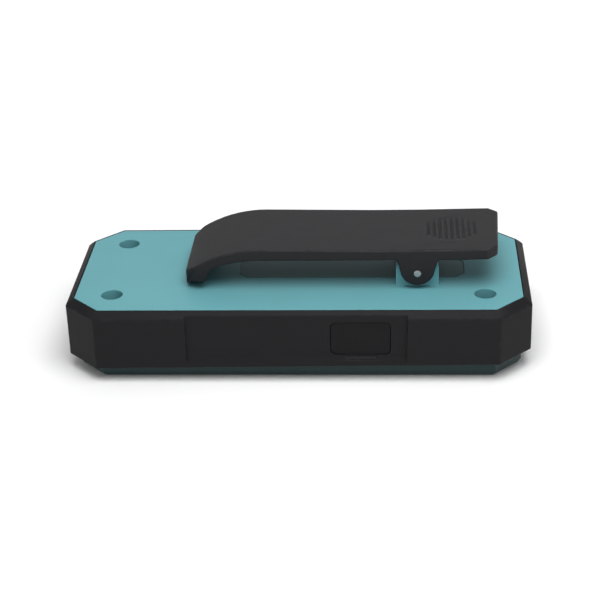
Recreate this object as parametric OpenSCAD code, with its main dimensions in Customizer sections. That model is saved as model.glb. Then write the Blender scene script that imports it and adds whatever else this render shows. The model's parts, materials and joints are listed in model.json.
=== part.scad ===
// Belt-clip pager, lying on its front with the clip uppermost.
// The origin is the middle of the front face. X runs along the body, Z points out of the back.
// All sizes are in millimetres.

/* [Body] */
// Length of the body
body_len = 100; // [96:1:110]
// Width of the body
body_wid = 44.5; // [43.5:0.5:50]
// Leg of each 45 degree corner cut
corner_cut = 7; // [6:0.5:8]
// Height of the bumper frame
frame_h = 12.3; // [12:0.1:13]
// How far the front shell stands proud of the frame
front_proud = 4.2; // [3.8:0.1:4.6]
// How much lower the frame reaches at its left end
frame_drop = 1; // [0:0.1:1.2]
// Width of the bevel round the top of the frame
bevel_w = 1.6; // [1.2:0.1:1.7]
// Height of that bevel
bevel_h = 1.4; // [1:0.1:1.8]
// Depth of the grip recess in each long side
recess_depth = 0.7; // [0.4:0.1:0.8]
// Length of that recess
recess_len = 47; // [42:1:52]

/* [Clip] */
// Width of the belt clip
clip_wid = 22; // [20:1:24]
// Height of the clip's back over the rear cover
clip_rise = 9.45; // [9.4:0.05:10]
// Thickness of the clip's arm
clip_t = 2.65; // [2.4:0.05:2.7]
// Radius of the hinge pin
pin_r = 0.8; // [0.7:0.05:0.9]
// Running clearance between the pin and the lugs
pin_gap = 0.05; // [0.03:0.01:0.1]

/* [Keys and port] */
// Travel of each front key
key_travel = 0.4; // [0.2:0.05:0.45]
// Width of the charging port's cover
port_wid = 12.8; // [11.6:0.2:13.6]
// Height of the charging port's cover
port_h = 7.7; // [7.4:0.1:7.7]

/* [Hidden] */
$fn = 64;

// Overlap given to cutting tools so that they break the surface cleanly.
CUT = 0.5;
// Gap left round pieces that drop into a pocket.
SEAT_GAP = 0.1;

half_len = body_len / 2;
half_wid = body_wid / 2;
// The frame stands on the front shell's shoulder, and the rear cover is flush with its top.
frame_z = front_proud;
top_z = frame_z + frame_h;

// Rear cover: a plate let into the top of the frame.
land_w = 0.2;
cover_inset = bevel_w + land_w + SEAT_GAP;
cover_t = 2;
cover_z = top_z - cover_t;

// Blank label in a shallow recess under the clip, between the hinge's lugs.
label_x = [-13.4, 36];
label_half = 4.9;
label_cut = 2;
label_t = 0.2;
label_recess = 0.25;

// Front shell: a tray whose wall goes up inside the frame.
shell_inset = 2;
shell_edge = [[2, 1.7], [2.6, 0.6], [3.4, 0]];
shell_wall = 1.4;
shell_floor = 2;
shell_z = frame_z + 1.6;
frame_ledge = 3.3;
gasket_t = 0.5;

// Screws, each in a tube of the rear cover over a boss of the front shell.
screw_x = half_len - 9.9;
screw_y = half_wid - 9.25;
head_hole_r = 2.32;
head_hole_depth = 5.5;
tube_r = 3.5;
tube_shelf = 1.4;
tube_z = top_z - head_hole_depth - tube_shelf;
boss_r = 2.8;
boss_shoulder_r = 3.6;
shank_r = 1.25;
shank_gap = 0.15;
shank_len = 7;
head_r = 2.05;
head_t = 1.6;

// Clip hinge.
pin_x = 25.7;
pin_z = top_z + 3.7;
ear_t = 1.8;
ear_gap = 0.3;
lug_t = 2.5;
lug_half = 4.6;
ear_round_r = 3.7;
ear_round_z = pin_z + 0.9;
ear_top_half = 4.45;
clip_top = top_z + clip_rise;
clip_under = clip_top - clip_t;
clip_tail_x = -24.3;
clip_end_x = 43.7;
clip_end_skew = 0.9;
clip_bend_x = -8;
clip_bend_r = 27.2;
clip_lip_t = 2.35;
clip_end_t = 2.5;
clip_dip = 0.3;
foot_gap = 0.05;
foot_relief = 1.85;
foot_relief_run = 3.6;

// Torsion spring round the hinge pin, between the lugs.
spring_wire_r = 0.4;
spring_r = 1.8;
spring_turns = 12;
spring_half = clip_wid / 2 - ear_t - ear_gap - lug_t - 0.3 - spring_wire_r;

// Front keys, in a column beside the display.
key_x = 27;
key_pitch = 10.5;
key_size = [9, 7];
key_face_z = 0.35;
key_flange_z = shell_floor + 0.1;
key_back_z = 2.75;
key_gap = 0.15;

// Display and its window.
window_x = -12;
window_size = [44, 22];
opening_size = [40, 18];
overlay_inset = 5.4;
overlay_z = 0.15;
overlay_t = 0.75;
pocket_z = overlay_z + overlay_t;

// Board and what stands on it.
board_z = frame_z + 3.15;
board_t = 1.2;
board_top = board_z + board_t;
board_inset = 4.3;
plunger_r = 1.5;
switch_size = 6;
switch_z = 3.6;

// Charging port in the near side.
port_x = 13.6;
usb_size = [8.9, 7.3, 3.2];
usb_z = board_top + 0.02 + usb_size[2] / 2;
port_z = usb_z;
recess_y = -half_wid + recess_depth;
port_face_y = recess_y + 0.25;
port_plate = 1;
port_back_y = port_face_y + port_plate;
port_plug = [8.4, 1.6, 3];
port_hole = [9.6, 5];
port_round = 1.2;
port_gap = 0.05;
nail_h = 1;
nail_lip = 0.45;
nail_half = 3.4;
usb_mouth_y = port_back_y + port_plug[1] + 0.25;

// Vibration motor, stored with its weight hanging.
motor_y = 11.5;
motor_z = board_top + 3.1;
motor_x = 19;
motor_r = 2.3;
motor_len = 10;
weight_r = 2.6;
weight_x = motor_x + motor_len + 0.6;
weight_len = 3.4;
motor_shaft_r = 0.4;

// Battery.
battery_size = [37, 27, 5];
battery_x = -16.8;
battery_z = board_top + 0.1;

// ---------- shared shapes ----------

// Corner points of the body's outline, moved in by d all round.
function outline_points(d) =
    let (a = half_len - d, b = half_wid - d, c = corner_cut - d * (2 - sqrt(2)))
    [
        [a, -b + c], [a, b - c], [a - c, b], [-a + c, b],
        [-a, b - c], [-a, -b + c], [-a + c, -b], [a - c, -b]
    ];

module outline(d) {
    polygon(outline_points(d));
}

// Straight prism of the outline between two heights.
module slab(d, z0, z1) {
    translate([0, 0, z0]) linear_extrude(z1 - z0) outline(d);
}

// Prism whose outline goes from inset d0 at z0 to inset d1 at z1.
module taper(d0, z0, d1, z1) {
    low = [for (p = outline_points(d0)) [p[0], p[1], z0]];
    high = [for (p = outline_points(d1)) [p[0], p[1], z1]];
    walls = [for (k = [0 : 7]) [k, k + 8, (k + 1) % 8 + 8, (k + 1) % 8]];
    base = [for (k = [0 : 7]) k];
    lid = [for (k = [7 : -1 : 0]) k + 8];
    polyhedron(concat(low, high), concat(walls, [base, lid]));
}

// Box centred in X and Y, standing on z.
module block(size, at) {
    translate([at[0] - size[0] / 2, at[1] - size[1] / 2, at[2]]) cube(size);
}

// Upright prism of a rectangle with round corners, centred on at.
module round_block(size, r, at) {
    translate(at) linear_extrude(size[2]) round_rect([size[0], size[1]], r);
}

module round_rect(size, r) {
    union() {
        square([size[0] - 2 * r, size[1]], center = true);
        square([size[0], size[1] - 2 * r], center = true);
        for (sx = [-1, 1], sy = [-1, 1])
            translate([sx * (size[0] / 2 - r), sy * (size[1] / 2 - r)]) circle(r);
    }
}

// Cylinder along Y, between two values of y.
module rod_y(r, x, z, y0, y1) {
    translate([x, y1, z]) rotate([90, 0, 0]) cylinder(r = r, h = y1 - y0);
}

// Cylinder along X, between two values of x.
module rod_x(r, y, z, x0, x1) {
    translate([x0, y, z]) rotate([0, 90, 0]) cylinder(r = r, h = x1 - x0);
}

module at_screws() {
    for (sx = [-1, 1], sy = [-1, 1]) translate([sx * screw_x, sy * screw_y, 0]) children();
}

module at_keys() {
    for (k = [-1 : 1]) translate([key_x, k * key_pitch, 0]) children();
}

// Round wire swept along a path. ref is a direction the path never runs along.
function unit(v) = v / norm(v);
function tangent(p, i) = unit(p[min(i + 1, len(p) - 1)] - p[max(i - 1, 0)]);
function ring(c, t, ref, r, sides) =
    let (n = unit(cross(t, ref)), b = cross(t, n))
    [for (k = [0 : sides - 1]) c + r * (cos(360 * k / sides) * n + sin(360 * k / sides) * b)];

module wire(path, r, ref, sides = 8) {
    last = len(path) - 1;
    points = [for (i = [0 : last]) each ring(path[i], tangent(path, i), ref, r, sides)];
    walls = [
        for (i = [0 : last - 1], k = [0 : sides - 1])
            let (next = (k + 1) % sides)
            [i * sides + k, (i + 1) * sides + k, (i + 1) * sides + next, i * sides + next]
    ];
    start_cap = [for (k = [0 : sides - 1]) k];
    end_cap = [for (k = [sides - 1 : -1 : 0]) last * sides + k];
    polyhedron(points, concat(walls, [start_cap, end_cap]));
}

// ---------- casings ----------

// Teal back plate with its screw tubes and the two lugs of the clip's hinge.
module rear_cover() {
    color([0.16, 0.52, 0.58])
    difference() {
        union() {
            slab(cover_inset, cover_z, top_z);
            at_screws() translate([0, 0, tube_z]) cylinder(r = tube_r, h = top_z - tube_z - 0.5);
            hinge_lug(-1);
            hinge_lug(1);
        }
        at_screws() {
            translate([0, 0, top_z - head_hole_depth]) cylinder(r = head_hole_r, h = head_hole_depth + CUT);
            translate([0, 0, tube_z - CUT]) cylinder(r = shank_r + shank_gap, h = tube_shelf + 2 * CUT);
        }
        label_slab(0, top_z - label_recess, top_z + CUT);
    }
}

// Rectangle with cut corners for the label, moved in by d all round.
module label_slab(d, z0, z1) {
    a = label_x[0] + d;
    b = label_x[1] - d;
    w = label_half - d;
    translate([0, 0, z0]) linear_extrude(z1 - z0) polygon([
        [a + label_cut, -w], [b - label_cut, -w], [b, -w + label_cut], [b, w - label_cut],
        [b - label_cut, w], [a + label_cut, w], [a, w - label_cut], [a, -w + label_cut]
    ]);
}

// Blank grey label stuck to the floor of its recess.
module cover_label() {
    color([0.3, 0.36, 0.38])
    label_slab(SEAT_GAP, top_z - label_recess, top_z - label_recess + label_t);
}

// One lug: a round-shouldered block with the running bore for the pin.
module hinge_lug(side) {
    inner = clip_wid / 2 - ear_t - ear_gap - lug_t;
    y0 = side > 0 ? inner : -inner - lug_t;
    shoulder = 1.4;
    crown_r = 2.3;
    lap = 0.5;
    difference() {
        translate([0, y0 + lug_t, 0]) rotate([90, 0, 0]) linear_extrude(lug_t) union() {
            translate([pin_x - lug_half, top_z - lap])
                square([2 * lug_half, pin_z - top_z + lap]);
            translate([pin_x - lug_half + shoulder, top_z - lap])
                square([2 * (lug_half - shoulder), pin_z + shoulder - top_z + lap]);
            for (s = [-1, 1])
                translate([pin_x + s * (lug_half - shoulder), pin_z]) circle(shoulder);
            translate([pin_x, pin_z]) circle(crown_r);
        }
        rod_y(pin_r + pin_gap, pin_x, pin_z, y0 - CUT, y0 + lug_t + CUT);
    }
}

// Black ring round the sides, bevelled at the top and relieved along both long sides.
module bumper_frame() {
    low = frame_z - frame_drop;
    color([0.06, 0.06, 0.065])
    difference() {
        union() {
            slab(0, low, top_z - bevel_h);
            taper(0, top_z - bevel_h, bevel_w, top_z);
        }
        frame_slope();
        slab(cover_inset - SEAT_GAP, cover_z - gasket_t, top_z + CUT);
        slab(frame_ledge, low - CUT, top_z);
        slab(shell_inset - SEAT_GAP, low - CUT, shell_z);
        grip_recess();
        mirror([0, 1, 0]) grip_recess();
        port_pocket();
    }
}

// Wedge that cuts the frame's underside to a slope, from its low left end up to frame_z at the right.
module frame_slope() {
    reach = half_len + CUT;
    rise = frame_drop * CUT / body_len;
    translate([0, half_wid + CUT, 0]) rotate([90, 0, 0]) linear_extrude(body_wid + 2 * CUT) polygon([
        [-reach, 0], [reach, 0], [reach, frame_z + rise], [-reach, frame_z - frame_drop - rise]
    ]);
}

// Shallow recess in the near side: open at the top, and running out to the surface near the bottom.
module grip_recess() {
    run_out = [0.6, 1.8];
    translate([-recess_len / 2, 0, frame_z]) rotate([90, 0, 90]) linear_extrude(recess_len) polygon([
        [-half_wid - CUT, run_out[0]], [-half_wid, run_out[0]], [-half_wid + recess_depth, run_out[1]],
        [-half_wid + recess_depth, frame_h + CUT], [-half_wid - CUT, frame_h + CUT]
    ]);
}

// Pocket for the port cover's plate, and the hole that its plug fills.
// Below it is a nail slot with a sloping floor.
module port_pocket() {
    depth = port_back_y + 0.1 - (recess_y - CUT);
    port_plate_shape(port_wid, port_h, recess_y - CUT, depth);
    translate([port_x - port_hole[0] / 2, recess_y, port_z - port_hole[1] / 2])
        cube([port_hole[0], frame_ledge + 1, port_hole[1]]);
    low = port_z - port_h / 2;
    translate([port_x - nail_half, 0, 0]) rotate([90, 0, 90]) linear_extrude(2 * nail_half) polygon([
        [-half_wid - CUT, low - nail_h], [recess_y, low - nail_h],
        [recess_y + nail_lip, low - nail_h + nail_lip], [recess_y + nail_lip, low + SEAT_GAP],
        [-half_wid - CUT, low + SEAT_GAP]
    ]);
}

// Plate with round corners that stands up across Y, centred on the port, with its near face at y.
module port_plate_shape(w, h, y, t) {
    translate([port_x, y + t, port_z]) rotate([90, 0, 0]) linear_extrude(t) round_rect([w, h], port_round);
}

// One step of the bevel round the front edge, between two points of its profile.
module shell_bevel(low, high) {
    taper(low[0], low[1], high[0], high[1]);
}

// Smoked front tray, with the display's opening, the key holes and the screw bosses.
module front_shell() {
    color([0.11, 0.18, 0.19])
    difference() {
        union() {
            difference() {
                union() {
                    for (k = [0 : 1]) shell_bevel(shell_edge[k + 1], shell_edge[k]);
                    slab(shell_inset, shell_edge[0][1], shell_z);
                }
                slab(shell_inset + shell_wall, shell_floor, shell_z + CUT);
            }
            at_screws() translate([0, 0, shell_floor - CUT]) {
                cylinder(r = boss_r, h = tube_z - SEAT_GAP - shell_floor + CUT);
                cylinder(r = boss_shoulder_r, h = board_z - shell_floor + CUT);
            }
        }
        slab(overlay_inset - SEAT_GAP, -CUT, pocket_z);
        block([opening_size[0], opening_size[1], shell_floor + 2 * CUT], [window_x, 0, -CUT]);
        key_holes(-CUT, shell_floor + CUT);
        sound_holes();
        light_slot(0);
        at_screws() translate([0, 0, tube_z - SEAT_GAP - shank_len])
            cylinder(r = shank_r, h = shank_len + CUT);
    }
}

// Openings for the three keys, between two heights.
module key_holes(z0, z1) {
    size = [key_size[0] + 2 * key_gap, key_size[1] + 2 * key_gap, z1 - z0];
    at_keys() round_block(size, 1.5, [0, 0, z0]);
}

// Seven small holes over the buzzer.
module sound_holes() {
    hole_r = 0.5;
    ring_r = 2.2;
    translate([buzzer_x, 0, -CUT]) {
        cylinder(r = hole_r, h = shell_floor + 2 * CUT);
        for (k = [1 : 6]) translate([ring_r * cos(60 * k), ring_r * sin(60 * k), 0])
            cylinder(r = hole_r, h = shell_floor + 2 * CUT);
    }
}

// Gloss black panel let into the front face.
module front_overlay() {
    color([0.02, 0.02, 0.025])
    difference() {
        slab(overlay_inset, overlay_z, pocket_z);
        block([window_size[0], window_size[1], overlay_t + 2 * CUT], [window_x, 0, overlay_z - CUT]);
        key_holes(overlay_z - CUT, pocket_z + CUT);
        sound_holes();
        light_slot(0);
    }
}

// Bar of space that the status lights shine through, less an allowance all round.
module light_slot(gap) {
    slot = [1.8, 16];
    block([slot[0] - 2 * gap, slot[1] - 2 * gap, shell_floor + 2 * CUT], [led_x, 0, -CUT]);
}

// Clear bar that carries the status lights to the front face.
module light_bar() {
    color([0.9, 0.9, 0.85])
    intersection() {
        light_slot(SEAT_GAP);
        slab(0, overlay_z, shell_floor + 0.4);
    }
}

// Clear window over the display, in the overlay's opening.
module display_window() {
    size = [window_size[0] - 2 * SEAT_GAP, window_size[1] - 2 * SEAT_GAP, overlay_t];
    color([0.1, 0.12, 0.12, 0.6])
    block(size, [window_x, 0, overlay_z]);
}

// Flat silicone seal between the frame's ledge and the rear cover.
module rear_gasket() {
    color([0.25, 0.25, 0.26])
    difference() {
        slab(cover_inset, cover_z - gasket_t, cover_z);
        slab(frame_ledge, cover_z - gasket_t - CUT, cover_z + CUT);
    }
}

// ---------- clip ----------

// Height of the clip's back at x: an arc behind the bend, and a slight hollow along the arm.
function clip_back(x) =
    x < clip_bend_x
        ? clip_top - clip_bend_r + sqrt(pow(clip_bend_r, 2) - pow(x - clip_bend_x, 2))
        : clip_top - clip_dip * sin(180 * (x - clip_bend_x) / (clip_end_x - clip_bend_x));

// Height of the arm's underside at x, which follows the bend.
clip_inner_x = clip_bend_x - 0.5;
function clip_belly(x) =
    x < clip_inner_x
        ? clip_under - clip_bend_r + sqrt(pow(clip_bend_r, 2) - pow(x - clip_inner_x, 2))
        : clip_under;

foot_inner_x = -18.5;
foot_waist = [-19, 4];
foot_pads_x = [-20.9, -21.5, -23.5];
foot_step = 0.3;
groove_x = [-23, -21.9];
// Side view of the clip, from the foot's underside round the back to the foot's inner face.
clip_profile = concat(
    [[clip_tail_x + 0.2, top_z + foot_gap], [clip_tail_x, top_z + 1]],
    [for (x = [clip_tail_x : 1.63 : clip_bend_x]) [x, clip_back(x)]],
    [for (x = [clip_bend_x + 4 : 5 : clip_end_x - 1]) [x, clip_back(x)]],
    [
        [clip_end_x, clip_top], [clip_end_x, clip_top - clip_lip_t],
        [clip_end_x - 3, clip_top - clip_end_t], [clip_end_x - 9, clip_under]
    ],
    [for (x = [clip_inner_x : -2 : foot_inner_x + 1]) [x, clip_belly(x)]],
    [
        [foot_inner_x, clip_belly(foot_inner_x)], [foot_waist[0], top_z + foot_waist[1]],
        [foot_pads_x[0], top_z + foot_gap], [foot_pads_x[1], top_z + foot_gap],
        [groove_x[1], top_z + foot_step], [groove_x[0], top_z + foot_step],
        [foot_pads_x[2], top_z + foot_gap]
    ]
);

// Plan of the clip, with cut corners and a slightly skewed thumb end.
tail_cut = 2;
end_cut = 2;
module clip_plan() {
    w = clip_wid / 2;
    near_x = clip_end_x - clip_end_skew;
    polygon([
        [near_x, -w + end_cut], [clip_end_x, w - end_cut], [clip_end_x - end_cut, w],
        [clip_tail_x + tail_cut, w], [clip_tail_x, w - tail_cut], [clip_tail_x, -w + tail_cut],
        [clip_tail_x + tail_cut, -w], [near_x - end_cut, -w]
    ]);
}

rib_count = 9;
rib_pitch = 1.25;
rib_w = 0.9;
rib_depth = 0.36;
rib_run = 1.6;
grip_x = 33.2;
grip_half = 6.2;
// Half length of the groove k places from the middle of the thumb grip.
function groove_half(k) = grip_half * sqrt(1 - pow(k * rib_pitch / (rib_pitch * rib_count / 2 + 0.6), 2));

// One V groove across the arm, whose ends run out to the surface.
module thumb_groove(x, reach) {
    over = 1 + CUT / rib_depth;
    w = rib_w / 2 * over;
    long = reach + rib_run * CUT / rib_depth;
    flat = reach - rib_run;
    translate([x, 0, clip_back(x)]) polyhedron(
        [
            [-w, -long, CUT], [w, -long, CUT], [w, long, CUT], [-w, long, CUT],
            [0, -flat, -rib_depth], [0, flat, -rib_depth]
        ],
        [[0, 3, 2, 1], [0, 1, 4], [1, 2, 5, 4], [2, 3, 5], [3, 0, 4, 5]]
    );
}

module belt_clip() {
    half = clip_wid / 2;
    color([0.07, 0.07, 0.075])
    difference() {
        union() {
            intersection() {
                translate([0, half, 0]) rotate([90, 0, 0]) linear_extrude(clip_wid) polygon(clip_profile);
                translate([0, 0, top_z - 1]) linear_extrude(clip_rise + 2) clip_plan();
            }
            clip_ear(-half);
            clip_ear(half - ear_t);
        }
        rod_y(pin_r, pin_x, pin_z, -half - CUT, half + CUT);
        // Thumb grooves: the longest is in the middle.
        for (k = [-(rib_count - 1) / 2 : (rib_count - 1) / 2])
            thumb_groove(grip_x + k * rib_pitch, groove_half(k));
        for (s = [-1, 1]) {
            foot_cut(s, clip_tail_x - 1, clip_tail_x + 6, 0);
            foot_cut(s, groove_x[0], groove_x[1], foot_step);
        }
    }
}

// Sloping cut that relieves one end of the foot, so that it slides onto cloth without catching.
module foot_cut(s, x0, x1, lift) {
    run = 6;
    translate([x0, s * (clip_wid / 2 - foot_relief_run), top_z + foot_gap + lift])
        rotate([s * atan(foot_relief / foot_relief_run), 0, 0])
            translate([0, s > 0 ? 0 : -run, -3]) cube([x1 - x0, run, 3]);
}

// One ear, widening from its round end up to the arm.
module clip_ear(y0) {
    arc_start = -158;
    arc_end = -22;
    outline = concat(
        [
            for (a = [arc_start : 8.5 : arc_end])
                [pin_x + ear_round_r * cos(a), ear_round_z + ear_round_r * sin(a)]
        ],
        [[pin_x + ear_top_half, clip_under + 0.3], [pin_x - ear_top_half, clip_under + 0.3]]
    );
    translate([0, y0 + ear_t, 0]) rotate([90, 0, 0]) linear_extrude(ear_t) polygon(outline);
}

module hinge_pin() {
    color([0.7, 0.7, 0.68]) rod_y(pin_r, pin_x, pin_z, -clip_wid / 2, clip_wid / 2);
}

// Coil round the pin, with one leg on the cover and one under the arm, both towards the thumb end.
spring_leg = 4.2;
spring_path = concat(
    [
        [pin_x + spring_leg, -spring_half, top_z + spring_wire_r + 0.15],
        [pin_x + spring_leg * 0.5, -spring_half, top_z + spring_wire_r + 0.75]
    ],
    [
        for (i = [0 : spring_turns * 16 + 8])
            let (a = -90 - 22.5 * i)
            [
                pin_x + spring_r * cos(a),
                -spring_half + 2 * spring_half * i / (spring_turns * 16 + 8),
                pin_z + spring_r * sin(a)
            ]
    ],
    [
        [pin_x + spring_leg * 0.5, spring_half, clip_under - spring_wire_r - 0.5],
        [pin_x + spring_leg, spring_half, clip_under - spring_wire_r - 0.12]
    ]
);

module torsion_spring() {
    color([0.6, 0.6, 0.62]) wire(spring_path, spring_wire_r, [0, 1, 0], 6);
}

// ---------- fasteners ----------

// Four self-tapping screws with cross recesses.
module cover_screws() {
    seat = top_z - head_hole_depth;
    cross = [2.4, 0.55];
    cross_depth = 0.8;
    floor_z = seat + head_t - cross_depth;
    color([0.55, 0.55, 0.57])
    at_screws() difference() {
        union() {
            translate([0, 0, seat]) cylinder(r = head_r, h = head_t);
            translate([0, 0, seat - shank_len]) cylinder(r = shank_r, h = shank_len + 0.2);
        }
        block([cross[0], cross[1], cross_depth + CUT], [0, 0, floor_z]);
        block([cross[1], cross[0], cross_depth + CUT], [0, 0, floor_z]);
    }
}

// ---------- charging port ----------

// Rubber cover: a plate with a plug behind it. It swings up about its upper outer edge.
module port_cover() {
    color([0.04, 0.04, 0.045])
    union() {
        port_plate_shape(port_wid - 2 * port_gap, port_h - 2 * port_gap, port_face_y, port_plate);
        translate([port_x - port_plug[0] / 2, port_back_y - 0.2, port_z - port_plug[2] / 2])
            cube([port_plug[0], port_plug[1] + 0.2, port_plug[2]]);
    }
}

// Steel shell of the socket, open at its mouth.
module usb_connector() {
    wall = 0.3;
    color([0.7, 0.7, 0.72])
    translate([port_x, usb_mouth_y, usb_z]) rotate([-90, 0, 0]) difference() {
        linear_extrude(usb_size[1]) round_rect([usb_size[0], usb_size[2]], 1.4);
        translate([0, 0, -CUT]) linear_extrude(usb_size[1] - 1 + CUT)
            round_rect([usb_size[0] - 2 * wall, usb_size[2] - 2 * wall], 1.1);
    }
}

// Contact tongue inside the socket.
module usb_tongue() {
    tongue = [6.6, usb_size[1] - 1.8, 0.7];
    start_y = usb_mouth_y + 0.8;
    color([0.05, 0.05, 0.05])
    block(tongue, [port_x, start_y + tongue[1] / 2, usb_z - tongue[2] / 2]);
}

// ---------- board and electronics ----------

module main_board() {
    color([0.05, 0.3, 0.15])
    difference() {
        slab(board_inset, board_z, board_top);
        at_screws() translate([0, 0, board_z - CUT]) cylinder(r = boss_r + SEAT_GAP, h = board_t + 2 * CUT);
    }
}

display_z = shell_floor + 0.2;
display_size = [43, 20.4, 1.6];
module display_panel() {
    color([0.55, 0.6, 0.5])
    block(display_size, [window_x, 0, display_z]);
}

// Frame and light guide that carry the display on the board.
module display_holder() {
    gap = 0.05;
    holder = [46, 23, board_z - gap - display_z];
    pocket = display_size + [2 * SEAT_GAP, 2 * SEAT_GAP, gap + CUT];
    color([0.85, 0.85, 0.85])
    difference() {
        block(holder, [window_x, 0, display_z]);
        block(pocket, [window_x, 0, display_z - CUT]);
    }
}

// Key cap with the flange that keeps it in the shell.
module key(k) {
    flange = 1.2;
    cap = [key_size[0], key_size[1], key_back_z - key_face_z];
    foot = [key_size[0] + flange, key_size[1] + flange, key_back_z - key_flange_z];
    cap_round = 1.4;
    flange_round = 1.8;
    color([0.16, 0.52, 0.58])
    translate([key_x, k * key_pitch, 0]) union() {
        round_block(cap, cap_round, [0, 0, key_face_z]);
        round_block(foot, flange_round, [0, 0, key_flange_z]);
    }
}

// The switch's plunger, which the key pushes into its base.
module plunger(k) {
    color([0.1, 0.1, 0.1])
    translate([key_x, k * key_pitch, key_back_z]) cylinder(r = plunger_r, h = switch_z - key_back_z + 0.5);
}

module switch_bases() {
    color([0.6, 0.6, 0.6])
    at_keys() difference() {
        block([switch_size, switch_size, board_z - switch_z], [0, 0, switch_z]);
        translate([0, 0, switch_z - CUT]) cylinder(r = plunger_r + 0.08, h = CUT + 1.2);
    }
}

module battery() {
    color([0.75, 0.76, 0.78])
    round_block(battery_size, 1.5, [battery_x, 0, battery_z]);
}

// Foam that keeps the battery from rattling under the rear cover.
module battery_pad() {
    pad = [30, 20, 0.7];
    color([0.12, 0.12, 0.12])
    block(pad, [battery_x, 0, battery_z + battery_size[2]]);
}

// The battery's two leads, each from the cell's end to the plug.
lead_z = board_top + 1.3;
lead_x0 = battery_x + battery_size[0] / 2;
plug_at = [9.5, -4.5, board_top];
function lead_path(y0, y1) = [
    [lead_x0, y0, lead_z + 1.6], [lead_x0 + 1, y0, lead_z + 1.5],
    [lead_x0 + 2, y0 + (y1 - y0) * 0.3, lead_z + 0.9], [lead_x0 + 3, y0 + (y1 - y0) * 0.75, lead_z + 0.2],
    [lead_x0 + 4, y1, lead_z], [plug_at[0] - 2, y1, lead_z]
];

module battery_wire_red() {
    color([0.7, 0.05, 0.05]) wire(lead_path(-1.6, plug_at[1] + 0.9), 0.5, [0, 0, 1]);
}

module battery_wire_black() {
    color([0.03, 0.03, 0.03]) wire(lead_path(-3.4, plug_at[1] - 0.9), 0.5, [0, 0, 1]);
}

module battery_plug() {
    plug = [4, 5, 2.6];
    color([0.9, 0.9, 0.86]) block(plug, plug_at);
}

// ---------- sound, vibration and radio ----------

module motor_can() {
    color([0.72, 0.72, 0.74])
    difference() {
        rod_x(motor_r, motor_y, motor_z, motor_x, motor_x + motor_len);
        rod_x(motor_shaft_r + 0.05, motor_y, motor_z, motor_x + 2, motor_x + motor_len + CUT);
    }
}

module motor_shaft() {
    color([0.8, 0.8, 0.8])
    rod_x(motor_shaft_r, motor_y, motor_z, motor_x + 2.2, weight_x + weight_len);
}

// Half-round tungsten weight, on one side of the shaft.
module motor_weight() {
    lower_half = [2 * weight_len, 4 * weight_r, 2 * weight_r];
    color([0.5, 0.48, 0.42])
    difference() {
        union() {
            intersection() {
                rod_x(weight_r, motor_y, motor_z, weight_x, weight_x + weight_len);
                block(lower_half, [weight_x, motor_y, motor_z - 2 * weight_r]);
            }
            rod_x(1, motor_y, motor_z, weight_x, weight_x + weight_len);
        }
        rod_x(motor_shaft_r, motor_y, motor_z, weight_x - CUT, weight_x + weight_len + CUT);
    }
}

// Rubber cradle that holds the motor on the board.
module motor_cradle() {
    cradle = [motor_len - 2, 6.4, 3.4];
    color([0.1, 0.1, 0.1])
    difference() {
        block(cradle, [motor_x + motor_len / 2, motor_y, board_top]);
        rod_x(motor_r, motor_y, motor_z, motor_x - CUT, motor_x + motor_len + CUT);
    }
}

buzzer_x = 38.5;
module buzzer() {
    r = 5;
    color([0.05, 0.05, 0.05])
    difference() {
        translate([buzzer_x, 0, shell_floor + 0.4]) cylinder(r = r, h = board_z - shell_floor - 0.45);
        translate([buzzer_x, 0, shell_floor]) cylinder(r = 1, h = 1.4);
    }
}

module rf_shield() {
    can = [12, 13, 2.2];
    color([0.75, 0.76, 0.77]) block(can, [30, -6, board_top]);
}

// Size and middle of each chip on the board.
chips = [
    [[5, 7, 0.9], [-41.5, 0]], [[4, 4, 0.9], [12, 3]], [[3, 5, 1.1], [17, -4]], [[3.2, 2.5, 1.2], [26, 4]]
];

module board_chips() {
    color([0.04, 0.04, 0.04])
    for (c = chips) block(c[0], [c[1][0], c[1][1], board_top]);
}

led_x = -40;
module status_leds() {
    led = [1.6, 3, 0.8];
    led_pitch = 5;
    color([0.95, 0.9, 0.6])
    for (k = [-1 : 1]) block(led, [led_x, led_pitch * k, board_z - led[2]]);
}

// Helical aerial with a leg soldered to the board.
aerial_r = 1.8;
aerial_x = 42.6;
aerial_z = board_top + 3.2;
aerial_turns = 9;
aerial_half = 7.6;
aerial_path = concat(
    [[aerial_x, -aerial_half, board_top + 0.05], [aerial_x, -aerial_half, board_top + 0.7]],
    [
        for (i = [0 : aerial_turns * 14])
            let (a = -90 + 360 * i / 14)
            [
                aerial_x + aerial_r * cos(a), -aerial_half + 2 * aerial_half * i / (aerial_turns * 14),
                aerial_z + aerial_r * sin(a)
            ]
    ]
);

module antenna_coil() {
    color([0.75, 0.55, 0.25]) wire(aerial_path, 0.3, [0, 1, 0], 6);
}

// ---------- nodes ----------

rear_cover();
cover_label();
bumper_frame();
front_shell();
front_overlay();
display_window();
rear_gasket();
belt_clip();
hinge_pin();
torsion_spring();
cover_screws();
port_cover();
usb_connector();
usb_tongue();
main_board();
display_panel();
display_holder();
light_bar();
key(1);  // key_up
key(0);  // key_enter
key(-1);  // key_down
plunger(1);  // plunger_up
plunger(0);  // plunger_enter
plunger(-1);  // plunger_down
switch_bases();
battery();
battery_pad();
battery_wire_red();
battery_wire_black();
battery_plug();
motor_can();
motor_shaft();
motor_weight();
motor_cradle();
buzzer();
rf_shield();
board_chips();
status_leds();
antenna_coil();
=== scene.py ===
"""Belt-clip pager: light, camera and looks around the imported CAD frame."""
import json
import math

import bmesh
import bpy
from mathutils import Matrix, Vector


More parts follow.
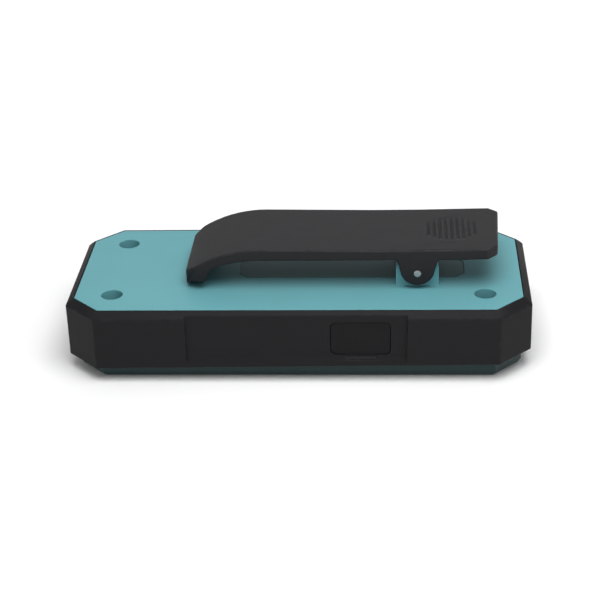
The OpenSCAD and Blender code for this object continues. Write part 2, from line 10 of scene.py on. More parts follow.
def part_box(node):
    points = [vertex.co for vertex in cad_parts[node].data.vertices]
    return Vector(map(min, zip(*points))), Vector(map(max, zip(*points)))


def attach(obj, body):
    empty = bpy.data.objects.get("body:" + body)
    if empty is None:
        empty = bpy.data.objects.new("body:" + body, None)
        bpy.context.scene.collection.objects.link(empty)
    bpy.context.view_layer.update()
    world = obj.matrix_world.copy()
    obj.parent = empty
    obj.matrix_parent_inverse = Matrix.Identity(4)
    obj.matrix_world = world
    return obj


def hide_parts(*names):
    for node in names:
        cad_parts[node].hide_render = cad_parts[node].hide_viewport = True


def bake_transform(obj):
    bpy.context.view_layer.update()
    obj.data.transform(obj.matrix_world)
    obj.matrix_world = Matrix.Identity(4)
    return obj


MM = 0.001

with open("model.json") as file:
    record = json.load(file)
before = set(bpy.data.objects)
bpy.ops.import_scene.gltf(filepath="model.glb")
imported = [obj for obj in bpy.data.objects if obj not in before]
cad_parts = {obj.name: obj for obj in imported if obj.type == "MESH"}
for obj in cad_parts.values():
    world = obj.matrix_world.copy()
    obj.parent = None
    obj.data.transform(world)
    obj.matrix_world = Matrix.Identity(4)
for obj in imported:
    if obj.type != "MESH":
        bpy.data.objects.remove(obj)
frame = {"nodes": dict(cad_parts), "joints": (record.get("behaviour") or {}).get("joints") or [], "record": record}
nodes = frame["nodes"]
joints = {joint["name"]: joint for joint in frame["joints"]}
slots = {part["node"]: part["material_slot"] for part in frame["record"]["subparts"]}
bodies = frame["record"]["behaviour"]["bodies"]
body_of = {node: body for body, members in bodies.items() for node in members}
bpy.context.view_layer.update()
cover_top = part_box("bumper_frame")[1].z
clip_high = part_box("belt_clip")[1]
pin_at = Vector(joints["clip_hinge"]["pos_m"])


# ---------- camera, light and floor ----------

def add_camera():
    """A long lens, 27 degrees above the horizon and a little to the right of the middle."""
    distance = 364.6 * MM
    elevation, azimuth, roll = math.radians(26.83), math.radians(3.88), math.radians(1.92)
    aim = Vector((-0.35 * MM, 0, 8.48 * MM))
    offset = Vector((
        math.sin(azimuth) * math.cos(elevation),
        -math.cos(azimuth) * math.cos(elevation),
        math.sin(elevation),
    ))
    data = bpy.data.cameras.new("camera")
    data.sensor_width = 36
    data.lens = 97.8
    data.clip_start = 0.01
    camera = bpy.data.objects.new("camera", data)
    bpy.context.scene.collection.objects.link(camera)
    camera.location = aim + offset * distance
    turn = (-offset).to_track_quat("-Z", "Y").to_matrix() @ Matrix.Rotation(-roll, 3, "Z")
    camera.rotation_euler = turn.to_euler()
    bpy.context.scene.camera = camera


def add_softbox(name, place, size, power, aim=(0, 0, 0.01), spread=180):
    """A rectangular light, aimed at the object's middle by default. Its spread is in degrees."""
    data = bpy.data.lights.new(name, "AREA")
    data.shape = "RECTANGLE"
    data.size, data.size_y = size
    data.energy = power
    data.spread = math.radians(spread)
    light = bpy.data.objects.new(name, data)
    bpy.context.scene.collection.objects.link(light)
    light.location = place
    light.rotation_euler = (Vector(aim) - light.location).to_track_quat("-Z", "Y").to_euler()


def add_world(strength):
    world = bpy.data.worlds.new("studio")
    bpy.context.scene.world = world
    world.use_nodes = True
    background = world.node_tree.nodes["Background"]
    background.inputs["Color"].default_value = (1, 1, 1, 1)
    background.inputs["Strength"].default_value = strength


def add_floor():
    half = 3
    corners = [(-half, -half, 0), (half, -half, 0), (half, half, 0), (-half, half, 0)]
    data = bpy.data.meshes.new("floor")
    data.from_pydata(corners, [], [(0, 1, 2, 3)])
    floor = bpy.data.objects.new("floor", data)
    bpy.context.scene.collection.objects.link(floor)
    floor.location.z = -0.02 * MM
    floor.data.materials.append(plain_floor())


# ---------- material building blocks ----------

def new_material(name):
    material = bpy.data.materials.new(name)
    material.use_nodes = True
    tree = material.node_tree
    return material, tree, tree.nodes["Principled BSDF"]


def node_of(tree, kind, **values):
    made = tree.nodes.new(kind)
    for key, value in values.items():
        setattr(made, key, value)
    return made


def place(tree, stretch=(1, 1, 1)):
    """Coordinates in the object's own space, in metres."""
    coordinates = node_of(tree, "ShaderNodeTexCoord")
    mapping = node_of(tree, "ShaderNodeMapping")
    mapping.inputs["Scale"].default_value = stretch
    tree.links.new(coordinates.outputs["Object"], mapping.inputs["Vector"])
    return mapping.outputs["Vector"]


def noise(tree, scale_mm, detail=4, roughness=0.5, stretch=(1, 1, 1)):
    """Noise whose features are about scale_mm across."""
    texture = node_of(tree, "ShaderNodeTexNoise")
    texture.inputs["Scale"].default_value = 1 / (scale_mm * MM)
    texture.inputs["Detail"].default_value = detail
    texture.inputs["Roughness"].default_value = roughness
    tree.links.new(place(tree, stretch), texture.inputs["Vector"])
    return texture.outputs["Fac"]


def cells(tree, scale_mm, feature="F1", distance="EUCLIDEAN", stretch=(1, 1, 1)):
    """Voronoi cells about scale_mm across: the distance output."""
    texture = node_of(tree, "ShaderNodeTexVoronoi", feature=feature, distance=distance)
    texture.inputs["Scale"].default_value = 1 / (scale_mm * MM)
    tree.links.new(place(tree, stretch), texture.inputs["Vector"])
    return texture.outputs["Distance"]


def stripes(tree, pitch_mm, direction="X", distortion=0):
    """Sine stripes with the given pitch."""
    texture = node_of(tree, "ShaderNodeTexWave", bands_direction=direction)
    texture.inputs["Scale"].default_value = math.pi / (10 * pitch_mm * MM)
    texture.inputs["Distortion"].default_value = distortion
    tree.links.new(place(tree), texture.inputs["Vector"])
    return texture.outputs["Fac"]


def ramp(tree, source, stops):
    """Colour ramp: stops are (position, grey level or colour)."""
    made = node_of(tree, "ShaderNodeValToRGB")
    elements = made.color_ramp.elements
    while len(elements) < len(stops):
        elements.new(0.5)
    for element, (position, colour) in zip(elements, stops):
        element.position = position
        element.color = (colour,) * 3 + (1,) if isinstance(colour, (int, float)) else tuple(colour) + (1,)
    tree.links.new(source, made.inputs["Fac"])
    return made.outputs["Color"]


def blend_colours(tree, factor, a, b, mode="MIX"):
    """Mix of two colours, each a socket or a plain colour."""
    made = node_of(tree, "ShaderNodeMix", data_type="RGBA", blend_type=mode)
    tree.links.new(factor, made.inputs["Factor"])
    for socket, value in ((made.inputs[6], a), (made.inputs[7], b)):
        if isinstance(value, tuple):
            socket.default_value = value + (1,)
        else:
            tree.links.new(value, socket)
    return made.outputs[2]


def product(tree, a, b):
    made = node_of(tree, "ShaderNodeMath", operation="MULTIPLY")
    tree.links.new(a, made.inputs[0])
    tree.links.new(b, made.inputs[1])
    return made.outputs[0]


def bump(tree, shader, layers):
    """Chains bump layers, each (height source, height in mm, strength)."""
    last = None
    for source, height_mm, strength in layers:
        made = node_of(tree, "ShaderNodeBump")
        made.inputs["Strength"].default_value = strength
        made.inputs["Distance"].default_value = height_mm * MM
        tree.links.new(source, made.inputs["Height"])
        if last is not None:
            tree.links.new(last, made.inputs["Normal"])
        last = made.outputs["Normal"]
    tree.links.new(last, shader.inputs["Normal"])


def shade(colour, factor):
    return tuple(min(1, c * factor) for c in colour)


def worn_edges(tree):
    """Where rounded edges are rubbed: the wear attribute, broken up by noise."""
    attribute = node_of(tree, "ShaderNodeAttribute", attribute_name="wear")
    patches = ramp(tree, noise(tree, 2.2, 6, 0.7), [(0.42, 0), (0.62, 1)])
    return product(tree, attribute.outputs["Fac"], patches)


# ---------- materials ----------

def moulded(name, colour, roughness, grain_mm, grain_depth, vary=0.03, specular=0.5, wear=1.3):
    """Moulded plastic or rubber: spark-eroded grain, soft colour drift, uneven sheen, rubbed edges."""
    material, tree, shader = new_material(name)
    darker, paler = shade(colour, 1 - vary), shade(colour, 1 + vary)
    drift = ramp(tree, noise(tree, 14, 3), [(0.3, darker), (0.7, paler)])
    rubbed = worn_edges(tree)
    tree.links.new(blend_colours(tree, rubbed, drift, shade(colour, wear)), shader.inputs["Base Color"])
    sheen = ramp(tree, noise(tree, 3, 3, 0.5), [(0.3, roughness - 0.012), (0.7, roughness + 0.012)])
    polished = (roughness - 0.12,) * 3
    tree.links.new(blend_colours(tree, rubbed, sheen, polished), shader.inputs["Roughness"])
    shader.inputs["Specular IOR Level"].default_value = specular
    bump(tree, shader, [(noise(tree, grain_mm, 3, 0.6), grain_depth, 1.0)])
    return material


def metal(name, colour, roughness, line_mm, stretch, depth=0.004):
    """Metal with fine lines drawn along one direction."""
    material, tree, shader = new_material(name)
    shader.inputs["Metallic"].default_value = 1
    lines = noise(tree, line_mm, 4, 0.7, stretch)
    stains = noise(tree, 3, 5, 0.65)
    drawn = ramp(tree, lines, [(0.3, shade(colour, 0.85)), (0.7, shade(colour, 1.1))])
    dulled = ramp(tree, stains, [(0.5, 0), (0.8, 0.4)])
    tree.links.new(blend_colours(tree, dulled, drawn, shade(colour, 0.7)), shader.inputs["Base Color"])
    tree.links.new(ramp(tree, lines, [(0.3, roughness - 0.06), (0.7, roughness + 0.08)]),
                   shader.inputs["Roughness"])
    bump(tree, shader, [(lines, depth, 0.5)])
    return material


def gloss(name, colour, roughness, coat=0.0):
    """Polished plastic with faint flow marks and fingerprints' worth of haze."""
    material, tree, shader = new_material(name)
    tree.links.new(ramp(tree, noise(tree, 9, 4), [(0.3, shade(colour, 0.9)), (0.7, shade(colour, 1.1))]),
                   shader.inputs["Base Color"])
    haze = noise(tree, 3.5, 6, 0.7)
    uneven = ramp(tree, haze, [(0.35, roughness), (0.75, roughness + 0.05)])
    tree.links.new(uneven, shader.inputs["Roughness"])
    shader.inputs["Coat Weight"].default_value = coat
    shader.inputs["Coat Roughness"].default_value = 0.05
    bump(tree, shader, [(noise(tree, 6, 2), 0.0015, 0.3)])
    return material


def glass(name, tint, roughness):
    """Tinted clear acrylic, with a little haze."""
    material, tree, shader = new_material(name)
    tree.links.new(ramp(tree, noise(tree, 12, 3), [(0.3, shade(tint, 0.97)), (0.7, tint)]),
                   shader.inputs["Base Color"])
    tree.links.new(ramp(tree, noise(tree, 4, 6, 0.7), [(0.4, roughness), (0.8, roughness + 0.02)]),
                   shader.inputs["Roughness"])
    shader.inputs["Transmission Weight"].default_value = 0.9
    shader.inputs["IOR"].default_value = 1.49
    bump(tree, shader, [(noise(tree, 6, 2), 0.002, 0.3)])
    return material


def lcd(name, back, dots):
    """Reflective liquid-crystal panel: a fine grid of dots over a pale green-grey back."""
    material, tree, shader = new_material(name)
    grid = product(tree, ramp(tree, stripes(tree, 0.34, "X"), [(0.3, 0), (0.5, 1)]),
                   ramp(tree, stripes(tree, 0.34, "Y"), [(0.3, 0), (0.5, 1)]))
    drift = ramp(tree, noise(tree, 16, 2), [(0.3, shade(back, 0.96)), (0.7, shade(back, 1.03))])
    tree.links.new(blend_colours(tree, grid, drift, dots), shader.inputs["Base Color"])
    tree.links.new(ramp(tree, noise(tree, 2, 4), [(0.3, 0.2), (0.7, 0.32)]), shader.inputs["Roughness"])
    bump(tree, shader, [(grid, 0.002, 0.4)])
    return material


def solder_mask(name, mask, copper):
    """Circuit board: tracks and pour show as raised lighter lines under a glossy mask, with bare pads."""
    material, tree, shader = new_material(name)
    tracks = ramp(tree, cells(tree, 1.6, "F1", "MANHATTAN"), [(0.42, 0), (0.47, 1), (0.55, 1), (0.6, 0)])
    vias = ramp(tree, cells(tree, 2.6), [(0.1, 1), (0.14, 0)])
    masked = blend_colours(tree, tracks, mask, shade(mask, 2.1))
    tree.links.new(blend_colours(tree, vias, masked, copper), shader.inputs["Base Color"])
    tree.links.new(vias, shader.inputs["Metallic"])
    tree.links.new(ramp(tree, noise(tree, 1.2, 4), [(0.3, 0.25), (0.7, 0.4)]), shader.inputs["Roughness"])
    bump(tree, shader, [(tracks, 0.03, 0.6)])
    return material


def foil(name, colour):
    """Laminated pouch: crinkled, dull silver."""
    material, tree, shader = new_material(name)
    creases = cells(tree, 4.5, "DISTANCE_TO_EDGE")
    tree.links.new(ramp(tree, noise(tree, 5, 5), [(0.3, shade(colour, 0.85)), (0.7, shade(colour, 1.1))]),
                   shader.inputs["Base Color"])
    shader.inputs["Metallic"].default_value = 0.85
    tree.links.new(ramp(tree, noise(tree, 2, 5), [(0.3, 0.3), (0.7, 0.45)]), shader.inputs["Roughness"])
    bump(tree, shader, [(creases, 0.25, 0.5), (noise(tree, 1.5, 4), 0.03, 0.5)])
    return material


def open_foam(name, colour):
    material, tree, shader = new_material(name)
    pores = cells(tree, 0.35)
    tree.links.new(ramp(tree, pores, [(0.1, shade(colour, 0.3)), (0.5, shade(colour, 1.5))]),
                   shader.inputs["Base Color"])
    shader.inputs["Roughness"].default_value = 0.95
    bump(tree, shader, [(pores, 0.15, 0.8)])
    return material


def glowing_part(name, colour):
    """Clear-topped lamp or light pipe: milky, faintly mottled plastic."""
    material, tree, shader = new_material(name)
    tree.links.new(ramp(tree, noise(tree, 1.5, 4), [(0.3, shade(colour, 0.85)), (0.7, colour)]),
                   shader.inputs["Base Color"])
    tree.links.new(ramp(tree, noise(tree, 0.8, 5), [(0.3, 0.15), (0.7, 0.3)]), shader.inputs["Roughness"])
    shader.inputs["Transmission Weight"].default_value = 0.35
    bump(tree, shader, [(noise(tree, 0.5, 3), 0.004, 0.5)])
    return material


def plain_floor():
    material, tree, shader = new_material("floor_paper")
    paper = ramp(tree, noise(tree, 60, 2), [(0.3, 0.94), (0.7, 0.96)])
    tree.links.new(paper, shader.inputs["Base Color"])
    shader.inputs["Roughness"].default_value = 0.9
    shader.inputs["Specular IOR Level"].default_value = 0.1
    return material


TEAL = (0.12, 0.33, 0.365)
BLACK = (0.0172, 0.017, 0.0186)
BUMPER_BLACK = (0.0112, 0.011, 0.0122)
STEEL = (0.4, 0.4, 0.395)

looks = {
    "teal_plastic": moulded("teal_plastic", TEAL, 0.5, 0.16, 0.001, 0.02, specular=0.16, wear=1.1),
    "key_plastic": moulded("key_plastic", TEAL, 0.4, 0.16, 0.002, 0.03, wear=1.15),
    # Front tray: the teal darkened to the shade under the bumper's overhang, partly a smoked tint and partly
    # painted shade.
    "smoked_plastic": moulded("smoked_plastic", (0.01, 0.027, 0.028), 0.34, 0.3, 0.002, specular=0.22),
    # Label under the clip: a darker copy of the teal, set to the shade the clip casts there; partly a label,
    # partly painted shade.
    "label": moulded("label", (0.072, 0.18, 0.195), 0.5, 0.12, 0.002, specular=0.2),
    "black_bumper": moulded("black_bumper", BUMPER_BLACK, 0.55, 0.2, 0.002, 0.02, specular=0.1),
    "black_plastic": moulded("black_plastic", BLACK, 0.5, 0.18, 0.002, 0.02, specular=0.12),
    "port_rubber": moulded("port_rubber", shade(BUMPER_BLACK, 0.8), 0.62, 0.25, 0.003, 0.02, specular=0.1),
    "grey_rubber": moulded("grey_rubber", (0.06, 0.06, 0.062), 0.7, 0.25, 0.01),
    "inner_rubber": moulded("inner_rubber", (0.02, 0.02, 0.02), 0.75, 0.3, 0.01),
    "inner_black": moulded("inner_black", (0.015, 0.015, 0.016), 0.5, 0.1, 0.004),
    "white_plastic": moulded("white_plastic", (0.68, 0.68, 0.65), 0.4, 0.2, 0.003, 0.04, wear=1.05),
    "red_wire": moulded("red_wire", (0.42, 0.012, 0.01), 0.35, 0.2, 0.003),
    "gloss_black": gloss("gloss_black", (0.006, 0.006, 0.007), 0.06, coat=0.6),
    "window": glass("window", (0.62, 0.66, 0.65), 0.03),
    "display": lcd("display", (0.25, 0.29, 0.2), (0.21, 0.25, 0.17)),
    "light_guide": glowing_part("light_guide", (0.75, 0.77, 0.75)),
    "led": glowing_part("led", (0.8, 0.76, 0.5)),
    "circuit_board": solder_mask("circuit_board", (0.008, 0.09, 0.035), (0.72, 0.5, 0.2)),
    "battery_foil": foil("battery_foil", (0.6, 0.61, 0.62)),
    "foam": open_foam("foam", (0.02, 0.02, 0.021)),
    "steel": metal("steel", STEEL, 0.34, 0.05, (8, 1, 1)),
    "spring_steel": metal("spring_steel", (0.4, 0.4, 0.42), 0.3, 0.06, (1, 6, 1)),
    "screw_steel": metal("screw_steel", (0.42, 0.42, 0.43), 0.36, 0.07, (1, 1, 6)),
    "tungsten": metal("tungsten", (0.22, 0.21, 0.2), 0.5, 0.12, (1, 1, 1), 0.01),
    "copper": metal("copper", (0.72, 0.4, 0.2), 0.28, 0.06, (1, 4, 1)),
}


# ---------- shapes ----------

def add_object(name, mesh, slot, body):
    """A finished piece that rides on a CAD body and takes its look from a slot."""
    piece = bpy.data.objects.new(name, mesh)
    bpy.context.scene.collection.objects.link(piece)
    mesh.materials.append(looks[slot])
    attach(piece, body)
    return piece


def merged_faces(node):
    """A CAD node as a welded bmesh with its coplanar triangles merged, and no wear yet."""
    shape = bmesh.new()
    shape.from_mesh(nodes[node].data)
    bmesh.ops.remove_doubles(shape, verts=shape.verts, dist=0.001 * MM)
    bmesh.ops.dissolve_limit(shape, angle_limit=math.radians(1), verts=shape.verts, edges=shape.edges)
    wear = shape.loops.layers.float_color.new("wear")
    for face in shape.faces:
        for loop in face.loops:
            loop[wear] = (0, 0, 0, 1)
    return shape


def round_edges(shape, radius, segments, pick=None, least_angle=31):
    """Rounds the sharp edges whose middle pick() accepts, and marks the new faces as worn."""
    wear = shape.loops.layers.float_color["wear"]
    chosen = []
    for edge in shape.edges:
        middle = (edge.verts[0].co + edge.verts[1].co) / 2
        sharp = edge.is_manifold and edge.calc_face_angle() > math.radians(least_angle)
        if sharp and (pick is None or pick(middle)):
            chosen.append(edge)
    made = bmesh.ops.bevel(shape, geom=chosen, offset=radius, offset_type="OFFSET", segments=segments,
                           profile=0.5, affect="EDGES", clamp_overlap=False)
    for face in made["faces"]:
        for loop in face.loops:
            loop[wear] = (1, 1, 1, 1)


def swept_wire(path, radius, sides):
    """A round wire along a path that never runs along Y, as a bmesh."""
    shape = bmesh.new()
    rings = []
    for k, point in enumerate(path):
        along = (path[min(k + 1, len(path) - 1)] - path[max(k - 1, 0)]).normalized()
        across = along.cross(Vector((0, 1, 0))).normalized()
        up = along.cross(across)
        ring = []
        for turn in range(sides):
            angle = 2 * math.pi * turn / sides
            outward = math.cos(angle) * across + math.sin(angle) * up
            ring.append(shape.verts.new(point + radius * outward))
        rings.append(ring)
    for near, far in zip(rings, rings[1:]):
        for turn in range(sides):
            after = (turn + 1) % sides
            shape.faces.new((near[turn], far[turn], far[after], near[after]))
    shape.faces.new(rings[0])
    shape.faces.new(reversed(rings[-1]))
    bmesh.ops.recalc_face_normals(shape, faces=shape.faces)
    return shape


def coil(middle, radius, half, turns, steps, start_angle, direction):
    """Points of a helix along Y, from y = -half to half about its middle."""
    count = round(turns * steps)
    points = []
    for k in range(count + 1):
        angle = start_angle + direction * 2 * math.pi * k / steps
        turned = Vector((radius * math.cos(angle), half * (2 * k / count - 1), radius * math.sin(angle)))
        points.append(middle + turned)
    return points


def finished_mesh(shape, name, sharp_angle=40):
    """Mesh of a bmesh, smooth except at sharp edges."""
    shape.normal_update()
    mesh = bpy.data.meshes.new(name)
    shape.to_mesh(mesh)
    shape.free()
    if "custom_normal" in mesh.attributes:
        mesh.attributes.remove(mesh.attributes["custom_normal"])
    mesh.materials.clear()
    mesh.shade_smooth()
    mesh.set_sharp_from_angle(angle=math.radians(sharp_angle))
    return mesh


def keep_faces_flat(piece):
    made = piece.modifiers.new("flat_faces", "WEIGHTED_NORMAL")
    made.keep_sharp = True
    made.weight = 80


def rounded_piece(node, name, passes, sharp_angle=40):
    """Replaces a CAD node by a copy whose edges are rounded, each pass (radius, segments, pick)."""
    shape = merged_faces(node)
    for radius, segments, pick in passes:
        round_edges(shape, radius * MM, segments, pick)
    piece = add_object(name, finished_mesh(shape, name, sharp_angle), slots[node], body_of[node])
    keep_faces_flat(piece)
    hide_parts(node)


# The leg of the body's corner cut, and the end of the long sides' recess.
CORNER_CUT = 7 * MM
RECESS_END = 23.5 * MM
# The middle of the clip's thumb grip, and its half width with a little to spare.
GRIP_X = 33.2 * MM
GRIP_HALF = 6.4 * MM
# How far the pin hole's edges lie from its axis, and the foot's lower edges from the cover, at most.
PIN_ZONE = 1.2 * MM
SOLE_ZONE = 0.5 * MM


def inset_of(point):
    """How far a point lies inside the body's cut-corner outline, seen from above."""
    frame_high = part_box("bumper_frame")[1]
    ends, sides = frame_high.x - abs(point.x), frame_high.y - abs(point.y)
    corners = (frame_high.x + frame_high.y - CORNER_CUT - abs(point.x) - abs(point.y)) / math.sqrt(2)
    return min(ends, sides, corners)


def on_frame_outline(point):
    """The frame's outer edges, apart from the ends of the recesses."""
    return inset_of(point) < 0.3 * MM and abs(abs(point.x) - RECESS_END) > 0.5 * MM


def on_clip_fine_part(point):
    """The thumb grooves, the pin's hole and the foot's underside."""
    beside = max(abs(point.x - GRIP_X), abs(point.y))
    grip = beside < GRIP_HALF and point.z > clip_high.z - MM
    hole = math.hypot(point.x - pin_at.x, point.z - pin_at.z) < PIN_ZONE
    sole = point.z < cover_top + SOLE_ZONE and point.x < 0
    return grip or hole or sole


def not_on(test):
    return lambda point: not test(point)


clip_passes = [(0.4, 3, not_on(on_clip_fine_part)), (0.08, 2, on_clip_fine_part)]
frame_passes = [(0.35, 3, on_frame_outline), (0.14, 2, not_on(on_frame_outline))]
rounded_piece("belt_clip", "clip_arm", clip_passes)
rounded_piece("bumper_frame", "bumper_ring", frame_passes)
rounded_piece("rear_cover", "back_plate", [(0.15, 2, None)])
# The label's copy: a real sheet whose dark colour is partly painted shade under the clip.
rounded_piece("cover_label", "label_with_painted_shade", [(0.05, 2, None)])
rounded_piece("front_shell", "front_tray", [(0.15, 2, None)])
rounded_piece("front_overlay", "front_panel", [(0.1, 2, None)])
rounded_piece("display_window", "window_pane", [(0.12, 2, None)])
rounded_piece("port_cover", "port_flap", [(0.15, 3, None)])
for key in ("up", "enter", "down"):
    rounded_piece("key_" + key, key + "_key_cap", [(0.3, 3, None)])
    rounded_piece("plunger_" + key, key + "_key_plunger", [(0.1, 2, None)])

# Node, name of its rounded copy, and radius in mm.
for node, name, radius in (
    ("hinge_pin", "pin", 0.12), ("cover_screws", "screws", 0.06), ("rear_gasket", "seal", 0.06),
    ("usb_connector", "socket_shell", 0.06), ("usb_tongue", "socket_tongue", 0.08),
    ("main_board", "board", 0.05), ("display_panel", "lcd_panel", 0.08),
    ("display_holder", "lcd_holder", 0.15), ("light_bar", "light_pipe", 0.1),
    ("switch_bases", "switches", 0.12), ("battery", "cell", 0.6), ("battery_pad", "foam_pad", 0.12),
    ("battery_plug", "lead_plug", 0.12), ("motor_can", "motor_case", 0.2),
    ("motor_shaft", "motor_axle", 0.06), ("motor_weight", "motor_mass", 0.1),
    ("motor_cradle", "motor_holder", 0.12), ("buzzer", "sounder", 0.15),
    ("rf_shield", "shield_can", 0.15), ("board_chips", "chips", 0.06), ("status_leds", "lamps", 0.1),
):
    rounded_piece(node, name, [(radius, 2, None)])
rounded_piece("battery_wire_red", "red_lead", [], 75)
rounded_piece("battery_wire_black", "black_lead", [], 75)


# ---------- torsion spring and aerial ----------

def add_spring():
    """A smooth coil round the pin, its lower leg lying on the cover and its upper leg under the clip."""
    wire, radius = 0.4 * MM, 1.8 * MM
    turns, steps = 12.5, 24
    spring_low, spring_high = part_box("torsion_spring")
    half = spring_high.y - wire
    reach = spring_high.x - pin_at.x - wire
    lower = Vector((pin_at.x, -half, spring_low.z + wire))
    upper = Vector((pin_at.x, half, spring_high.z - wire))
    inward = Vector((0, 0, 0.5 * MM))
    path = [lower + Vector((reach, 0, 0)), lower + Vector((reach / 2, 0, 0)) + inward]
    path += coil(pin_at, radius, half, turns, steps, -math.pi / 2, -1)
    path += [upper + Vector((reach / 2, 0, 0)) - inward, upper + Vector((reach, 0, 0))]
    mesh = finished_mesh(swept_wire(path, wire, 10), "spring")
    mesh.materials.append(looks["spring_steel"])
    spring = bpy.data.objects.new("spring", mesh)
    bpy.context.scene.collection.objects.link(spring)
    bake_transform(spring)
    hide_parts("torsion_spring")


def add_aerial():
    """A coil on a short leg that stands on the board."""
    wire = 0.3 * MM
    turns, steps = 9, 20
    aerial_low, aerial_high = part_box("antenna_coil")
    half = aerial_high.y - wire
    radius = (aerial_high.x - aerial_low.x) / 2 - wire
    middle = Vector(((aerial_low.x + aerial_high.x) / 2, 0, aerial_high.z - wire - radius))
    foot = Vector((middle.x, -half, aerial_low.z))
    path = [foot, foot + Vector((0, 0, 0.6 * MM))]
    path += coil(middle, radius, half, turns, steps, -math.pi / 2, 1)
    aerial = add_object("aerial", finished_mesh(swept_wire(path, wire, 8), "aerial"), "copper", "case")
    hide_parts("antenna_coil")


add_spring()
add_aerial()


# ---------- printed and shown marks on the front ----------

# Half the thickness of a printed mark.
INK = 0.02 * MM


def prism(shape, outline, z0, z1):
    """Adds an upright prism over a flat outline of (x, y) points to a bmesh."""
    floor_ring = [shape.verts.new((x, y, z0)) for x, y in outline]
    roof_ring = [shape.verts.new((x, y, z1)) for x, y in outline]
    shape.faces.new(reversed(floor_ring))
    shape.faces.new(roof_ring)
    for k in range(len(outline)):
        after = (k + 1) % len(outline)
        shape.faces.new((floor_ring[k], floor_ring[after], roof_ring[after], roof_ring[k]))


def bar(x0, y0, x1, y1):
    """Outline of a rectangle between two corners."""
    return [(x0, y0), (x1, y0), (x1, y1), (x0, y1)]


def band(outer, inner, z0, z1, shape):
    """Adds the ring between two outlines with the same number of points."""
    count = len(outer)
    rows = [[shape.verts.new((x, y, z)) for x, y in line] for line, z in
            ((outer, z0), (inner, z0), (inner, z1), (outer, z1))]
    for k in range(count):
        after = (k + 1) % count
        for row, following in zip(rows, rows[1:] + rows[:1]):
            shape.faces.new((row[k], following[k], following[after], row[after]))


def round_rectangle(x, y, half_x, half_y, radius, steps=6):
    """Outline of a rectangle with round corners, centred on (x, y)."""
    points = []
    for quarter, (sx, sy) in enumerate(((1, 1), (-1, 1), (-1, -1), (1, -1))):
        for k in range(steps + 1):
            angle = math.pi / 2 * (quarter + k / steps)
            points.append((x + sx * (half_x - radius) + radius * math.cos(angle),
                           y + sy * (half_y - radius) + radius * math.sin(angle)))
    return points


def mark(name, slot, body, build):
    """A thin mark, made by build(shape)."""
    shape = bmesh.new()
    build(shape)
    bmesh.ops.recalc_face_normals(shape, faces=shape.faces)
    return add_object(name, finished_mesh(shape, name), slot, body)


def window_border(shape):
    """A thin line with round corners, printed round the display's window."""
    gap, line, radius = 0.8 * MM, 0.3 * MM, 1.1 * MM
    window_low, window_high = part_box("display_window")
    panel_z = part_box("front_overlay")[0].z
    x, y = (window_low.x + window_high.x) / 2, (window_low.y + window_high.y) / 2
    half_x, half_y = window_high.x - x, window_high.y - y
    outer = round_rectangle(x, y, half_x + gap + line, half_y + gap + line, radius + line)
    inner = round_rectangle(x, y, half_x + gap, half_y + gap, radius)
    band(outer, inner, panel_z - INK, panel_z + INK, shape)


def key_mark(key):
    """Triangle up, ring or triangle down, on the face of one key."""
    low_corner, high_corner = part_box("key_" + key)
    x, y, z = (low_corner.x + high_corner.x) / 2, (low_corner.y + high_corner.y) / 2, low_corner.z
    size = 1.5 * MM
    bore = 0.68 * size

    def build(shape):
        if key == "enter":
            outer = round_rectangle(x, y, size, size, size)
            inner = round_rectangle(x, y, bore, bore, bore)
            band(outer, inner, z - INK, z + INK, shape)
        else:
            tip = size if key == "up" else -size
            base = y - tip * 0.6
            prism(shape, [(x - size, base), (x + size, base), (x, y + tip)], z - INK, z + INK)

    return build


def battery_mark(shape, x, y, z0, z1):
    """A battery with three cells, centred on (x, y)."""
    half_x, half_y, line, radius = 3 * MM, 1.3 * MM, 0.25 * MM, 0.4 * MM
    outer = round_rectangle(x, y, half_x, half_y, radius)
    inner = round_rectangle(x, y, half_x - line, half_y - line, line)
    band(outer, inner, z0, z1, shape)
    knob, knob_half = 0.5 * MM, 0.6 * MM
    prism(shape, bar(x + half_x, y - knob_half, x + half_x + knob, y + knob_half), z0, z1)
    cell_half_x, cell_half_y, pitch = 0.7 * MM, 0.7 * MM, 1.7 * MM
    for k in (-1, 0, 1):
        middle = x + k * pitch
        outline = bar(middle - cell_half_x, y - cell_half_y, middle + cell_half_x, y + cell_half_y)
        prism(shape, outline, z0, z1)


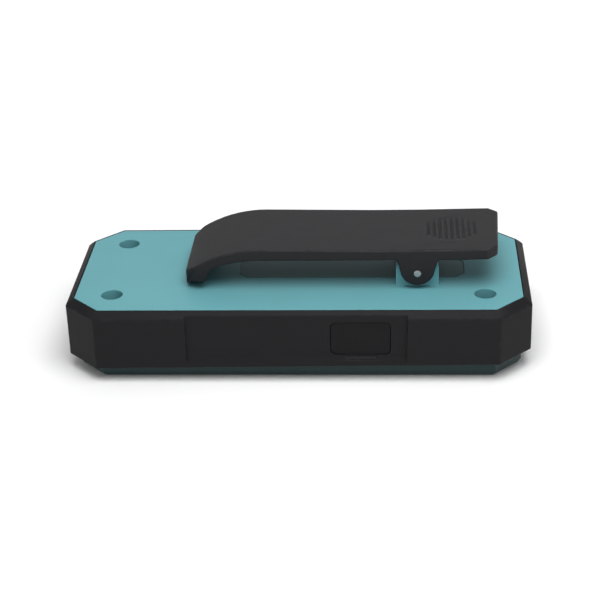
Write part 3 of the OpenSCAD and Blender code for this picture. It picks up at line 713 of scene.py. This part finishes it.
def signal_mark(shape, left, base, z0, z1):
    """Four bars, each taller than the one before."""
    width, pitch, shortest, growth = 0.8 * MM, 1.3 * MM, 0.6 * MM, 0.65 * MM
    for k in range(4):
        foot = left + pitch * k
        prism(shape, bar(foot, base, foot + width, base + shortest + growth * k), z0, z1)


def dash_row(shape, left, base, z0, z1):
    """Six dashes in place of a line of text."""
    width, height, pitch = 3.6 * MM, 0.8 * MM, 5.6 * MM
    for k in range(6):
        foot = left + pitch * k
        prism(shape, bar(foot, base, foot + width, base + height), z0, z1)


def status_marks(shape):
    """Generic symbols on the display's face."""
    glass_low, glass_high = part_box("display_panel")
    z0, z1 = glass_low.z - INK, glass_low.z + INK
    row_y = glass_high.y - 4.6 * MM
    battery_mark(shape, glass_high.x - 7 * MM, row_y, z0, z1)
    signal_mark(shape, glass_low.x + 4 * MM, row_y - 1.3 * MM, z0, z1)
    dash_row(shape, glass_low.x + 6 * MM, -3.2 * MM, z0, z1)


mark("printed_border", "white_plastic", "case", window_border)
mark("display_symbols", "inner_black", "case", status_marks)
for key in ("up", "enter", "down"):
    mark(key + "_key_symbol", "white_plastic", key + "_key", key_mark(key))


# ---------- looks of the CAD nodes, light, floor and camera ----------

for node, slot in slots.items():
    nodes[node].data.materials.clear()
    nodes[node].data.materials.append(looks[slot])

add_world(0.33)
add_softbox("key", (0.03, -0.1, 0.25), (0.2, 0.2), 0.66)
add_softbox("top", (0, 0.45, 0.8), (0.9, 0.9), 0.8)
add_softbox("back", (0, 0.9, 0.55), (1.4, 0.5), 0.82)
add_softbox("left", (-0.75, -0.35, 0.15), (0.5, 0.25), 0.38)
add_softbox("right", (0.75, -0.3, 0.18), (0.5, 0.3), 0.62)
add_softbox("front", (0, -0.75, 0.1), (0.9, 0.2), 0.7)
add_softbox("rear", (0.1, 0.75, 0.12), (0.9, 0.2), 0.36)
add_softbox("backdrop", (0, 0.27, 0.22), (0.9, 0.2), 0.75, aim=(0, 0.27, 0), spread=100)
add_floor()
add_camera()
bpy.context.scene.view_settings.view_transform = "Standard"
